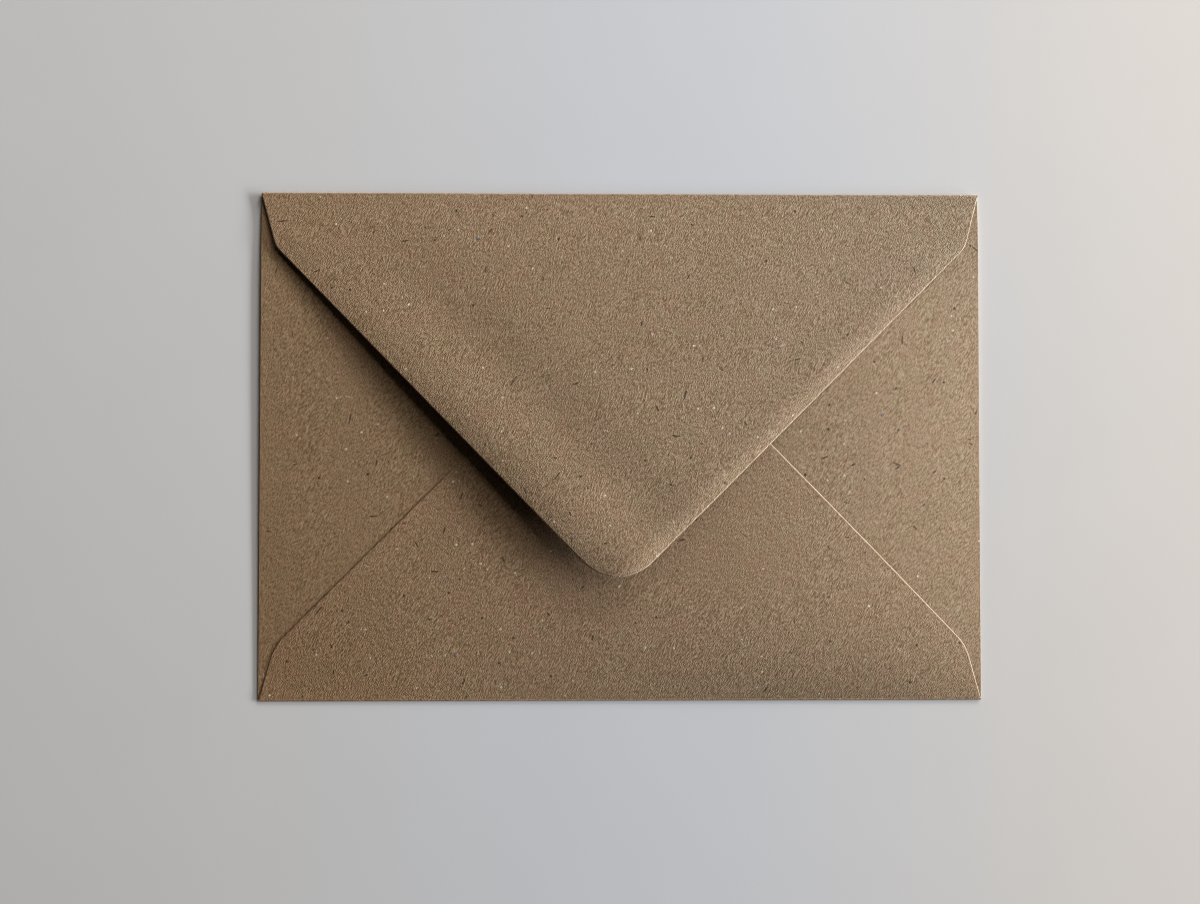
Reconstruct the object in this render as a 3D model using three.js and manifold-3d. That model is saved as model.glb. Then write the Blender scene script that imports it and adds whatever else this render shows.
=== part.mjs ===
// A kraft letter envelope of the C6 size, lying on its address side with its pointed flap a little open.
// One die-cut sheet makes five panels and four folds, held by two glue seams, with gum on the flap.
// Millimetres. +X runs along the long side, +Y towards the top fold and +Z up from the table.
import * as THREE from 'three';
import { mergeVertices } from 'three/addons/utils/BufferGeometryUtils.js';
import Module from 'manifold-3d';

const wasm = await Module();
wasm.setup();

// Outer size and paper
const envelopeWidth = 162;
const envelopeHeight = 114;
const paperThickness = 0.17;

// The die line that all the flaps share, and how far each point lies off the middle
const shoulderInset = 3.6;
const shoulderDepth = 12.4;
const shoulderRadius = 11;
const flapEdgeAngle = THREE.MathUtils.degToRad(45);
const topTipRadius = 10.5;
const topTipOffset = -1;
const bottomTipRadius = 18;
const bottomTipOffset = 0.8;
const sideTipRadius = 12;

// Folds: how far the bend reaches in from the outer edge, and the height of the tightest fold
const sideFoldReach = 0.4;
const bottomFoldReach = 0.45;
const topFoldReach = 0.5;
const sideFoldHeight = 0.54;

// Clearances between the layers
const filmClearance = 0.02;
const flapClearance = 0.3;

// Glue seams and the gum on the flap. Starts and ends run along the pointed edge from its shoulder.
const seamFilm = 0.06;
const seamMargin = 1.5;
const seamStart = 6;
const seamEnd = 58;
const gumFilm = 0.04;
const gumInset = 2.5;
const gumWidth = 9;
const gumStart = 6;

// How the empty pocket stands open: its highest place, how it falls away to each side and to both ends
const pocketRise = 3.4;
const pocketPeakX = 25;
const leftFallPower = 1.35;
const rightFallPower = 2.2;
const endFallPower = 3.8;

// How far the side folds spring open, low at the bottom corners and most near the top
const sideSpring = 1.25;
const springGrowth = 1.5;
const springPinch = 24;

// How the flap stands off the back: its full rise, how soon it gets there, and its curled edges
const flapRise = 7.4;
const flapRiseLength = 42;
const edgeCurl = 0.85;
const edgeCurlWidth = 9;
const edgeCurlStart = 6;
const edgeCurlFull = 30;

// Fineness of the facets, and how much of the crowding towards both ends of a sheet is even
const bodyColumns = 20;
const bodyRows = 14;
const flapColumns = 24;
const flapRows = 18;
const bendSteps = 6;
const arcSteps = 6;
const evenShare = 0.5;

// How far an outline runs past the end of its sheet, so that the sheet's own end is the one that counts
const spare = 5;

// Places worked out from the sizes above
const halfWidth = envelopeWidth / 2;
const halfHeight = envelopeHeight / 2;
const panelRight = halfWidth - sideFoldReach;
const panelTop = halfHeight - topFoldReach;
const panelBottom = -halfHeight + bottomFoldReach;
const bottomFoldHeight = sideFoldHeight + seamFilm + 2 * filmClearance + paperThickness;
const topFoldHeight = sideFoldHeight + flapClearance + paperThickness;
const topApexDepth = shoulderDepth + (halfWidth - shoulderInset) * Math.tan(flapEdgeAngle);
const sideApexDepth = shoulderDepth + (halfHeight - shoulderInset) / Math.tan(flapEdgeAngle);

// The sharp corners of the die line, before they are rounded: side and end are -1 or 1
const point2 = (x, y) => new THREE.Vector2(x, y);
const topShoulder = (side) => point2(side * (halfWidth - shoulderInset), halfHeight - shoulderDepth);
const topPoint = point2(topTipOffset, halfHeight - topApexDepth);
const bottomShoulder = (side) => point2(side * (halfWidth - shoulderInset), shoulderDepth - halfHeight);
const bottomPoint = point2(bottomTipOffset, topApexDepth - halfHeight);
const sideShoulder = (side, end) => point2(side * (halfWidth - shoulderDepth), end * (halfHeight - shoulderInset));
const sidePoint = (side) => point2(side * (halfWidth - sideApexDepth), 0);

// Stations from low to high, closer together towards both ends
function stations(low, high, count) {
  const middle = (low + high) / 2;
  const reach = (high - low) / 2;
  const list = [];
  for (let i = 0; i <= count; i += 1) {
    const even = (2 * i) / count - 1;
    const crowded = Math.sin((even * Math.PI) / 2);
    list.push(middle + reach * (evenShare * even + (1 - evenShare) * crowded));
  }
  return list;
}

const bodyX = stations(-panelRight, panelRight, bodyColumns);
const bodyY = stations(panelBottom, panelTop, bodyRows);
const flapX = stations(-panelRight, panelRight, flapColumns);
const flapY = stations(topPoint.y, panelTop, flapRows);

// How far the back stands above its lowest place at a fold: a pillow inside, the spring of the fold at the sides
function backRise(x, y) {
  const onLeft = x < pocketPeakX;
  const fromPeak = Math.abs(x - pocketPeakX) / (onLeft ? panelRight + pocketPeakX : panelRight - pocketPeakX);
  const across = Math.min(fromPeak, 1) ** (onLeft ? leftFallPower : rightFallPower);
  const upward = THREE.MathUtils.clamp((y - panelBottom) / (panelTop - panelBottom), 0, 1);
  const inside = pocketRise * (1 - Math.abs(2 * upward - 1) ** endFallPower);
  const atFold = sideSpring * upward ** springGrowth * (1 - upward ** springPinch);
  return inside * (1 - across) + atFold * across;
}

function frontUnderside() {
  return 0;
}

function sideUnderside(x, y) {
  return sideFoldHeight - paperThickness + backRise(x, y);
}

function seamUnderside(x, y) {
  return sideFoldHeight + filmClearance + backRise(x, y);
}

function bottomUnderside(x, y) {
  return bottomFoldHeight - paperThickness + backRise(x, y);
}

// Distance of a place on the top flap from its nearer pointed edge
function distanceFromFlapEdge(x, y) {
  const toPlace = point2(x, y).sub(topPoint);
  const distances = [-1, 1].map((side) => side * topShoulder(side).sub(topPoint).normalize().cross(toPlace));
  return Math.min(...distances);
}

// The flap leaves its fold steeply, levels out over the back, and curls down along its pointed edges
function topUnderside(x, y) {
  const fromFold = Math.max(panelTop - y, 0);
  const rise = flapRise * (1 - Math.exp(-fromFold / flapRiseLength));
  const nearEdge = Math.max(1 - Math.max(distanceFromFlapEdge(x, y), 0) / edgeCurlWidth, 0);
  const curlShare = THREE.MathUtils.clamp((fromFold - edgeCurlStart) / (edgeCurlFull - edgeCurlStart), 0, 1);
  return topFoldHeight - paperThickness + rise - edgeCurl * curlShare * nearEdge ** 2;
}

function gumUnderside(x, y) {
  return topUnderside(x, y) - filmClearance - gumFilm;
}

function solidFrom(positions, triangles) {
  return new wasm.Manifold(new wasm.Mesh({
    numProp: 3,
    vertProperties: Float32Array.from(positions),
    triVerts: Uint32Array.from(triangles),
  }));
}

// Two facets for the four-sided patch a, b, c, d, seen anticlockwise from outside
function addPatch(triangles, a, b, c, d) {
  triangles.push(a, b, c, a, c, d);
}

// A sheet over a grid of stations: its underside at heightAt and its top one thickness above
function sheetOverGrid(xs, ys, heightAt, thickness) {
  const positions = [];
  for (const layer of [0, thickness]) {
    for (const y of ys) {
      for (const x of xs) {
        positions.push(x, y, heightAt(x, y) + layer);
      }
    }
  }
  const layerSize = xs.length * ys.length;
  const at = (column, row, layer) => layer * layerSize + row * xs.length + column;
  const triangles = [];
  const lastColumn = xs.length - 1;
  const lastRow = ys.length - 1;
  for (let row = 0; row < lastRow; row += 1) {
    for (let column = 0; column < lastColumn; column += 1) {
      const right = column + 1;
      const far = row + 1;
      addPatch(triangles, at(column, row, 1), at(right, row, 1), at(right, far, 1), at(column, far, 1));
      addPatch(triangles, at(column, row, 0), at(column, far, 0), at(right, far, 0), at(right, row, 0));
    }
  }
  for (let column = 0; column < lastColumn; column += 1) {
    const right = column + 1;
    const top = lastRow;
    addPatch(triangles, at(column, 0, 0), at(right, 0, 0), at(right, 0, 1), at(column, 0, 1));
    addPatch(triangles, at(right, top, 0), at(column, top, 0), at(column, top, 1), at(right, top, 1));
  }
  for (let row = 0; row < lastRow; row += 1) {
    const far = row + 1;
    const end = lastColumn;
    addPatch(triangles, at(0, far, 0), at(0, row, 0), at(0, row, 1), at(0, far, 1));
    addPatch(triangles, at(end, row, 0), at(end, far, 0), at(end, far, 1), at(end, row, 1));
  }
  return solidFrom(positions, triangles);
}

// A closed outline from corner points, each with its radius. The first two are sharp: a leading arc loses its line.
function roundedShape(corners) {
  const shape = new THREE.Shape();
  corners.forEach(({ place, radius }, index) => {
    const before = corners[(index + corners.length - 1) % corners.length].place;
    const after = corners[(index + 1) % corners.length].place;
    const toBefore = before.clone().sub(place).normalize();
    const toAfter = after.clone().sub(place).normalize();
    const halfAngle = toBefore.angleTo(toAfter) / 2;
    if (radius > 0) {
      const middle = toBefore.clone().add(toAfter).normalize();
      const centre = place.clone().addScaledVector(middle, radius / Math.sin(halfAngle));
      const start = place.clone().addScaledVector(toBefore, radius / Math.tan(halfAngle)).sub(centre);
      const end = place.clone().addScaledVector(toAfter, radius / Math.tan(halfAngle)).sub(centre);
      const clockwise = toBefore.cross(toAfter) > 0;
      shape.absarc(centre.x, centre.y, radius, start.angle(), end.angle(), clockwise);
    } else if (index === 0) {
      shape.moveTo(place.x, place.y);
    } else {
      shape.lineTo(place.x, place.y);
    }
  });
  return shape;
}

const sharp = (place) => ({ place, radius: 0 });
const rounded = (place, radius) => ({ place, radius });

// Outline of a flap from one end of its fold to the other. outward leads off the sheet at the fold.
function flapOutline(foldEnds, shoulders, point, tipRadius, outward) {
  const pastFold = foldEnds.map((end) => end.clone().addScaledVector(outward, spare));
  return roundedShape([
    sharp(pastFold[0]),
    sharp(foldEnds[0]),
    rounded(shoulders[0], shoulderRadius),
    rounded(point, tipRadius),
    rounded(shoulders[1], shoulderRadius),
    sharp(foldEnds[1]),
    sharp(pastFold[1]),
  ]);
}

// The place at run along the line from start to end, and then toLeft to the left of that line
function besideLine(start, end, run, toLeft) {
  const along = end.clone().sub(start).normalize();
  const left = point2(-along.y, along.x);
  return start.clone().addScaledVector(along, run).addScaledVector(left, toLeft);
}

// An upright prism over an outline, tall enough to cut any of the sheets
function cutter(shape) {
  const halfDepth = envelopeHeight;
  const options = { depth: 2 * halfDepth, bevelEnabled: false, curveSegments: arcSteps };
  const prism = new THREE.ExtrudeGeometry(shape, options);
  prism.translate(0, 0, -halfDepth);
  prism.deleteAttribute('normal');
  prism.deleteAttribute('uv');
  const merged = mergeVertices(prism);
  return solidFrom(merged.attributes.position.array, merged.index.array);
}

function geometryFrom(solid) {
  const mesh = solid.getMesh();
  const geometry = new THREE.BufferGeometry();
  geometry.setAttribute('position', new THREE.BufferAttribute(mesh.vertProperties, mesh.numProp));
  geometry.setIndex(new THREE.BufferAttribute(mesh.triVerts, 1));
  geometry.computeVertexNormals();
  return geometry;
}

// The four folds join the front panel to its flaps: each is half an ellipse in section, one paper thick
function foldGeometry(along, reach, heightAt, toPlace) {
  const positions = [];
  for (const place of along) {
    const halfRise = heightAt(place) / 2;
    for (const layer of [0, paperThickness]) {
      for (let step = 0; step <= bendSteps; step += 1) {
        const turn = (Math.PI * step) / bendSteps;
        const out = reach - (reach - layer) * Math.sin(turn);
        const z = halfRise - (halfRise - layer) * Math.cos(turn);
        positions.push(...toPlace(out, place), z);
      }
    }
  }
  const ring = 2 * (bendSteps + 1);
  const at = (station, step, layer) => station * ring + layer * (bendSteps + 1) + step;
  const triangles = [];
  const last = along.length - 1;
  const bent = bendSteps;
  for (let station = 0; station < last; station += 1) {
    const next = station + 1;
    for (let step = 0; step < bent; step += 1) {
      const up = step + 1;
      addPatch(triangles, at(station, step, 0), at(station, up, 0), at(next, up, 0), at(next, step, 0));
      addPatch(triangles, at(next, step, 1), at(next, up, 1), at(station, up, 1), at(station, step, 1));
    }
    addPatch(triangles, at(next, 0, 0), at(next, 0, 1), at(station, 0, 1), at(station, 0, 0));
    addPatch(triangles, at(station, bent, 0), at(station, bent, 1), at(next, bent, 1), at(next, bent, 0));
  }
  for (let step = 0; step < bent; step += 1) {
    const up = step + 1;
    addPatch(triangles, at(0, step, 1), at(0, up, 1), at(0, up, 0), at(0, step, 0));
    addPatch(triangles, at(last, step, 0), at(last, up, 0), at(last, up, 1), at(last, step, 1));
  }
  return geometryFrom(solidFrom(positions, triangles));
}

function frontPanel() {
  return geometryFrom(sheetOverGrid(bodyX, bodyY, frontUnderside, paperThickness));
}

function sideFlap(side) {
  const shape = flapOutline(
    [point2(side * panelRight, panelBottom), point2(side * panelRight, panelTop)],
    [sideShoulder(side, -1), sideShoulder(side, 1)],
    sidePoint(side),
    sideTipRadius,
    point2(side, 0),
  );
  return geometryFrom(sheetOverGrid(bodyX, bodyY, sideUnderside, paperThickness).intersect(cutter(shape)));
}

function bottomFlap() {
  const shape = flapOutline(
    [point2(-panelRight, panelBottom), point2(panelRight, panelBottom)],
    [bottomShoulder(-1), bottomShoulder(1)],
    bottomPoint,
    bottomTipRadius,
    point2(0, -1),
  );
  return geometryFrom(sheetOverGrid(bodyX, bodyY, bottomUnderside, paperThickness).intersect(cutter(shape)));
}

function topFlap() {
  const shape = flapOutline(
    [point2(-panelRight, panelTop), point2(panelRight, panelTop)],
    [topShoulder(-1), topShoulder(1)],
    topPoint,
    topTipRadius,
    point2(0, 1),
  );
  return geometryFrom(sheetOverGrid(flapX, flapY, topUnderside, paperThickness).intersect(cutter(shape)));
}

// A band of glue between the bottom flap's edge and the side flap's edge under it, which run side by side
function seamGlue(side) {
  const onBottom = (run) => besideLine(bottomShoulder(side), bottomPoint, run, side * seamMargin);
  const onSide = (run) => besideLine(sideShoulder(side, -1), sidePoint(side), run, -side * seamMargin);
  const shape = roundedShape([
    sharp(onBottom(seamStart)),
    sharp(onSide(seamStart)),
    sharp(onSide(seamEnd)),
    sharp(onBottom(seamEnd)),
  ]);
  return geometryFrom(sheetOverGrid(bodyX, bodyY, seamUnderside, seamFilm).intersect(cutter(shape)));
}

// The gum follows both pointed edges and the tip, in an even band set in from the edge
function flapGum() {
  const toLeft = topShoulder(-1).sub(topPoint).normalize();
  const toRight = topShoulder(1).sub(topPoint).normalize();
  const halfAngle = toLeft.angleTo(toRight) / 2;
  const middle = toLeft.clone().add(toRight).normalize();
  const endAt = (side, inset) => besideLine(topShoulder(side), topPoint, gumStart, -side * inset);
  const tipAt = (inset) => topPoint.clone().addScaledVector(middle, inset / Math.sin(halfAngle));
  const innerInset = gumInset + gumWidth;
  const shape = roundedShape([
    sharp(endAt(-1, innerInset)),
    sharp(endAt(-1, gumInset)),
    rounded(tipAt(gumInset), Math.max(topTipRadius - gumInset, 0)),
    sharp(endAt(1, gumInset)),
    sharp(endAt(1, innerInset)),
    rounded(tipAt(innerInset), Math.max(topTipRadius - innerInset, 0)),
  ]);
  return geometryFrom(sheetOverGrid(flapX, flapY, gumUnderside, gumFilm).intersect(cutter(shape)));
}

// The side folds run up one side and down the other, so that their faces look outward
function sideFold(side) {
  const along = side < 0 ? bodyY : [...bodyY].reverse();
  const heightAt = (y) => sideFoldHeight + backRise(side * panelRight, y);
  return foldGeometry(along, sideFoldReach, heightAt, (out, y) => [side * (halfWidth - out), y]);
}

function bottomFold() {
  const toPlace = (out, x) => [x, -halfHeight + out];
  return foldGeometry([...bodyX].reverse(), bottomFoldReach, () => bottomFoldHeight, toPlace);
}

function topFold() {
  const toPlace = (out, x) => [x, halfHeight - out];
  return foldGeometry(bodyX, topFoldReach, () => topFoldHeight, toPlace);
}

const kraftOutside = new THREE.MeshStandardMaterial({ color: 0x8c7558, roughness: 0.9, metalness: 0 });
const kraftInside = new THREE.MeshStandardMaterial({ color: 0x967f62, roughness: 0.92, metalness: 0 });
const glueMaterial = new THREE.MeshStandardMaterial({ color: 0xb9a88c, roughness: 0.5, metalness: 0 });
const gumMaterial = new THREE.MeshStandardMaterial({ color: 0xa08a66, roughness: 0.3, metalness: 0 });

const envelope = new THREE.Group();

function addPiece(name, geometry, material) {
  const mesh = new THREE.Mesh(geometry, material);
  mesh.name = name;
  envelope.add(mesh);
}

addPiece('front_panel', frontPanel(), kraftOutside);
addPiece('left_side_flap', sideFlap(-1), kraftOutside);
addPiece('right_side_flap', sideFlap(1), kraftOutside);
addPiece('bottom_flap', bottomFlap(), kraftOutside);
addPiece('top_flap', topFlap(), kraftOutside);
addPiece('left_side_fold', sideFold(-1), kraftInside);
addPiece('right_side_fold', sideFold(1), kraftInside);
addPiece('bottom_fold', bottomFold(), kraftInside);
addPiece('top_fold', topFold(), kraftInside);
addPiece('left_seam_glue', seamGlue(-1), glueMaterial);
addPiece('right_seam_glue', seamGlue(1), glueMaterial);
addPiece('flap_gum', flapGum(), gumMaterial);

export default envelope;
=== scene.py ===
import math

import bpy
import numpy as np
from mathutils import Matrix, Vector, geometry


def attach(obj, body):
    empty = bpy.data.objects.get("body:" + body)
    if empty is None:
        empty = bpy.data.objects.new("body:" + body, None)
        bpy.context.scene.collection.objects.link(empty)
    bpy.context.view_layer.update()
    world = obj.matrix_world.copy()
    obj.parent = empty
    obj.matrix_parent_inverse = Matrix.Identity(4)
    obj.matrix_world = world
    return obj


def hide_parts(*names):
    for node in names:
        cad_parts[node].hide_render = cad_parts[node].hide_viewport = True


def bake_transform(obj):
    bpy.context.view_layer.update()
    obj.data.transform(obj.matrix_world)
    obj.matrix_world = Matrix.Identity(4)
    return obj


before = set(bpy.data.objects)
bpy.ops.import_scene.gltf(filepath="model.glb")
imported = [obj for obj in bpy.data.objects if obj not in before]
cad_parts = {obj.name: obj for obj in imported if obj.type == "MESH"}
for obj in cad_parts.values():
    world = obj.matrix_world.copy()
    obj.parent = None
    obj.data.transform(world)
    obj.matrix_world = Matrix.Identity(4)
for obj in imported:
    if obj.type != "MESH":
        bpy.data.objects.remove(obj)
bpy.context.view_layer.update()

# Lengths below are in millimetres, and go into Blender in metres
MM = 0.001

# The envelope's outline, as in its solids but for the tighter top shoulders
ENVELOPE_WIDTH = 162
ENVELOPE_HEIGHT = 114
SHOULDER_INSET = 3.6
SHOULDER_DEPTH = 12.4
SHOULDER_RADIUS = 11
TOP_SHOULDER_RADIUS = 6
FLAP_EDGE_ANGLE = math.radians(45)
TOP_TIP_RADIUS = 10.5
TOP_TIP_OFFSET = -1
BOTTOM_TIP_RADIUS = 18
BOTTOM_TIP_OFFSET = 0.8
SIDE_TIP_RADIUS = 12

# The paper, how far each fold reaches in from the outline, and the room between the sheets
PAPER = 0.12
SIDE_FOLD_REACH = 0.15
BOTTOM_FOLD_REACH = 0.45
TOP_FOLD_REACH = 0.5
SIDE_FOLD_HEIGHT = 0.36
FILM_CLEARANCE = 0.01
FLAP_CLEARANCE = 0.53

# The glue of the seams and the gum of the flap
SEAM_FILM = 0.03
SEAM_MARGIN = 1.5
SEAM_START = 6
SEAM_END = 58
GUM_FILM = 0.04
GUM_INSET = 2.5
GUM_WIDTH = 9
GUM_START = 6

# The pocket's rise to its peak, its fall to each side, and the spring of its paper at the side folds
POCKET_RISE = 4.4
POCKET_PEAK_X = 25
LEFT_FALL_POWER = 1.42
RIGHT_FALL_POWER = 2.2
BOTTOM_FALL_POWER = 5
TOP_FALL_POWER = 3.0
LEFT_SPRING = 0.7
LEFT_SPRING_LEAN = 0.55
RIGHT_SPRING = 0.6
SPRING_GROWTH = 1.5
SPRING_PINCH = 20

# The flap's rise from its fold, its bulge between its edges and its slant from left to right
FLAP_RISE = 12
FLAP_RISE_LENGTH = 76
FLAP_RISE_POWER = 1.35
FLAP_BULGE = 2.2
FLAP_BULGE_X = -4
FLAP_BULGE_START = 20
FLAP_SLANT = 0.012

# The flap's edges, as (left, right): a curl, a valley beside it and a roll towards the tip
CURL_START = 6
CURL_FULL = 30
CURL_DROP = (0.22, 1.0)
CURL_WIDTH = (5, 4.2)
VALLEY_DROP = (0.45, 0.14)
VALLEY_PLACE = (17, 11)
VALLEY_WIDTH = (5, 3.5)
ROLL_DROP = (0.45, 0)
ROLL_WIDTH = 11
ROLL_START = 38
ROLL_LENGTH = 22

# The flap's curled tip, measured from its fold
TIP_CURL = 0.4
TIP_CURL_START = 77
TIP_CURL_LENGTH = 9

# The cut edges: how far they are rounded down, how wide they are and how they fade into the paper's face
EDGE_ROUNDING = 0.1
CUT_EDGE_WIDTH = 0.32
CUT_EDGE_FADE = 0.2

# The meshes' fineness: rings inside the cut edges, then steps along outlines, over faces and round folds
EDGE_RINGS = (0.09, 0.2, CUT_EDGE_WIDTH)
EDGE_STEP = 0.6
BODY_STEP = 1.7
FLAP_STEP = 1.3
FRONT_STEP = 4
BEND_STEPS = 14
ARC_STEPS = 16
SIDE_FOLD_STATIONS = 80
LONG_FOLD_STATIONS = 110

# Room round the rings, as shares of the smallest ring, of each ring and of a face's step
OUTLINE_ROOM = 0.6
RING_SLACK = 0.05
FACE_ROOM = 0.35

# How far apart heights are compared to find a slope, and how far inside the outline its normals are taken
SLOPE_STEP = 0.01
NORMAL_INSET = 0.03

# Left and right, as a sign and a word
SIDES = ((-1, "left"), (1, "right"))

HALF_WIDTH = ENVELOPE_WIDTH / 2
HALF_HEIGHT = ENVELOPE_HEIGHT / 2
PANEL_RIGHT = HALF_WIDTH - SIDE_FOLD_REACH
PANEL_TOP = HALF_HEIGHT - TOP_FOLD_REACH
PANEL_BOTTOM = -HALF_HEIGHT + BOTTOM_FOLD_REACH
BOTTOM_FOLD_HEIGHT = SIDE_FOLD_HEIGHT + SEAM_FILM + 2 * FILM_CLEARANCE + PAPER
TOP_FOLD_HEIGHT = SIDE_FOLD_HEIGHT + FLAP_CLEARANCE + PAPER
TOP_APEX_DEPTH = SHOULDER_DEPTH + (HALF_WIDTH - SHOULDER_INSET) * math.tan(FLAP_EDGE_ANGLE)
SIDE_APEX_DEPTH = SHOULDER_DEPTH + (HALF_HEIGHT - SHOULDER_INSET) / math.tan(FLAP_EDGE_ANGLE)


# The sharp corners of the die line: side and end are -1 or 1
def top_shoulder(side):
    return np.array([side * (HALF_WIDTH - SHOULDER_INSET), HALF_HEIGHT - SHOULDER_DEPTH])


def bottom_shoulder(side):
    return np.array([side * (HALF_WIDTH - SHOULDER_INSET), SHOULDER_DEPTH - HALF_HEIGHT])


def side_shoulder(side, end):
    return np.array([side * (HALF_WIDTH - SHOULDER_DEPTH), end * (HALF_HEIGHT - SHOULDER_INSET)])


TOP_POINT = np.array([TOP_TIP_OFFSET, HALF_HEIGHT - TOP_APEX_DEPTH])
BOTTOM_POINT = np.array([BOTTOM_TIP_OFFSET, TOP_APEX_DEPTH - HALF_HEIGHT])


def side_point(side):
    return np.array([side * (HALF_WIDTH - SIDE_APEX_DEPTH), 0.0])


def unit(vector):
    return vector / np.linalg.norm(vector)


def turned_left(vector):
    return np.array([-vector[1], vector[0]])


def beside_line(start, end, run, to_left):
    along = unit(end - start)
    return start + along * run + turned_left(along) * to_left


# Heights of the sheets, each of the underside, for arrays of x and y
def back_rise(x, y):
    on_left = x < POCKET_PEAK_X
    reach = np.where(on_left, PANEL_RIGHT + POCKET_PEAK_X, PANEL_RIGHT - POCKET_PEAK_X)
    power = np.where(on_left, LEFT_FALL_POWER, RIGHT_FALL_POWER)
    across = np.minimum(np.abs(x - POCKET_PEAK_X) / reach, 1) ** power
    upward = np.clip((y - PANEL_BOTTOM) / (PANEL_TOP - PANEL_BOTTOM), 0, 1)
    from_middle = 2 * upward - 1
    fall_power = np.where(from_middle < 0, BOTTOM_FALL_POWER, TOP_FALL_POWER)
    inside = POCKET_RISE * (1 - np.abs(from_middle) ** fall_power)
    left_spring = LEFT_SPRING * (1 - LEFT_SPRING_LEAN * y / HALF_HEIGHT)
    spring = np.where(on_left, left_spring, RIGHT_SPRING)
    at_fold = spring * upward**SPRING_GROWTH * (1 - upward**SPRING_PINCH)
    return inside * (1 - across) + at_fold * across


def front_underside(x, y):
    return np.zeros_like(x)


def side_underside(x, y):
    return SIDE_FOLD_HEIGHT - PAPER + back_rise(x, y)


def seam_underside(x, y):
    return SIDE_FOLD_HEIGHT + FILM_CLEARANCE + back_rise(x, y)


def bottom_underside(x, y):
    return BOTTOM_FOLD_HEIGHT - PAPER + back_rise(x, y)


def edge_relief(x, y, side):
    """How far the flap drops by its curl, its valley and its roll, along its left or its right edge."""
    pick = 0 if side < 0 else 1
    edge = unit(top_shoulder(side) - TOP_POINT)
    gap = np.maximum(side * (edge[0] * (y - TOP_POINT[1]) - edge[1] * (x - TOP_POINT[0])), 0)
    curl = CURL_DROP[pick] * np.maximum(1 - gap / CURL_WIDTH[pick], 0) ** 2
    valley = VALLEY_DROP[pick] * np.exp(-0.5 * ((gap - VALLEY_PLACE[pick]) / VALLEY_WIDTH[pick]) ** 2)
    begun = np.clip((PANEL_TOP - y - ROLL_START) / ROLL_LENGTH, 0, 1)
    roll = ROLL_DROP[pick] * begun * np.maximum(1 - gap / ROLL_WIDTH, 0) ** 2
    return curl + valley + roll


def top_underside(x, y):
    from_fold = np.maximum(PANEL_TOP - y, 0)
    rise = FLAP_RISE * (1 - np.exp(-((from_fold / FLAP_RISE_LENGTH) ** FLAP_RISE_POWER)))
    half_span = HALF_WIDTH - np.maximum(from_fold - SHOULDER_DEPTH, 0)
    begun = 1 - np.exp(-from_fold / FLAP_BULGE_START)
    bulge = FLAP_BULGE * (half_span**2 - (x - FLAP_BULGE_X) ** 2) / HALF_WIDTH**2
    curl_share = np.clip((from_fold - CURL_START) / (CURL_FULL - CURL_START), 0, 1)
    relief = curl_share * (edge_relief(x, y, -1) + edge_relief(x, y, 1))
    tip = TIP_CURL * np.maximum((from_fold - TIP_CURL_START) / TIP_CURL_LENGTH, 0) ** 2
    return TOP_FOLD_HEIGHT - PAPER + rise + begun * (bulge + FLAP_SLANT * x) - relief - tip


def gum_underside(x, y):
    return top_underside(x, y) - FILM_CLEARANCE - GUM_FILM


# Outlines are points, each with a mark: True where the next stretch is cut paper, False along a fold
def arc_points(place, before, after, radius):
    to_before = unit(before - place)
    to_after = unit(after - place)
    half_angle = math.acos(np.clip(to_before @ to_after, -1, 1)) / 2
    centre = place + unit(to_before + to_after) * radius / math.sin(half_angle)
    start = place + to_before * radius / math.tan(half_angle) - centre
    end = place + to_after * radius / math.tan(half_angle) - centre
    first = math.atan2(start[1], start[0])
    turn = math.atan2(end[1], end[0]) - first
    turn = (turn + math.pi) % (2 * math.pi) - math.pi
    angles = first + turn * np.linspace(0, 1, ARC_STEPS + 1)
    return centre + radius * np.stack([np.cos(angles), np.sin(angles)], axis=1)


def rounded_outline(corners):
    """corners holds (place, radius, cut), where cut is True if the stretch after the corner is a cut edge."""
    points = []
    cuts = []
    for index, (place, radius, cut) in enumerate(corners):
        if radius > 0:
            before = corners[index - 1][0]
            after = corners[(index + 1) % len(corners)][0]
            arc = arc_points(place, before, after, radius)
            points.extend(arc)
            cuts.extend([True] * ARC_STEPS + [cut])
        else:
            points.append(place)
            cuts.append(cut)
    return np.array(points), cuts


def with_steps(points, cuts, step):
    """The same outline with every stretch divided into steps no longer than step."""
    fine_points = []
    fine_cuts = []
    for index, point in enumerate(points):
        following = points[(index + 1) % len(points)]
        count = max(1, math.ceil(np.linalg.norm(following - point) / step))
        for part in range(count):
            fine_points.append(point + (following - point) * part / count)
            fine_cuts.append(cuts[index])
    return np.array(fine_points), fine_cuts


def flap_outline(fold_ends, shoulders, point, tip_radius, shoulder_radius=SHOULDER_RADIUS):
    corners = [
        (fold_ends[0], 0, True),
        (shoulders[0], shoulder_radius, True),
        (point, tip_radius, True),
        (shoulders[1], shoulder_radius, True),
        (fold_ends[1], 0, False),
    ]
    return rounded_outline(corners)


def distance_to_cuts(xy, points, cuts):
    """Distance of each place from the nearest cut stretch of an outline."""
    nearest = np.full(len(xy), 1e9)
    for index, start in enumerate(points):
        if not cuts[index]:
            continue
        along = points[(index + 1) % len(points)] - start
        share = np.clip(((xy - start) @ along) / (along @ along), 0, 1)
        gap = np.linalg.norm(xy - start - share[:, None] * along, axis=1)
        nearest = np.minimum(nearest, gap)
    return nearest


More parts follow.
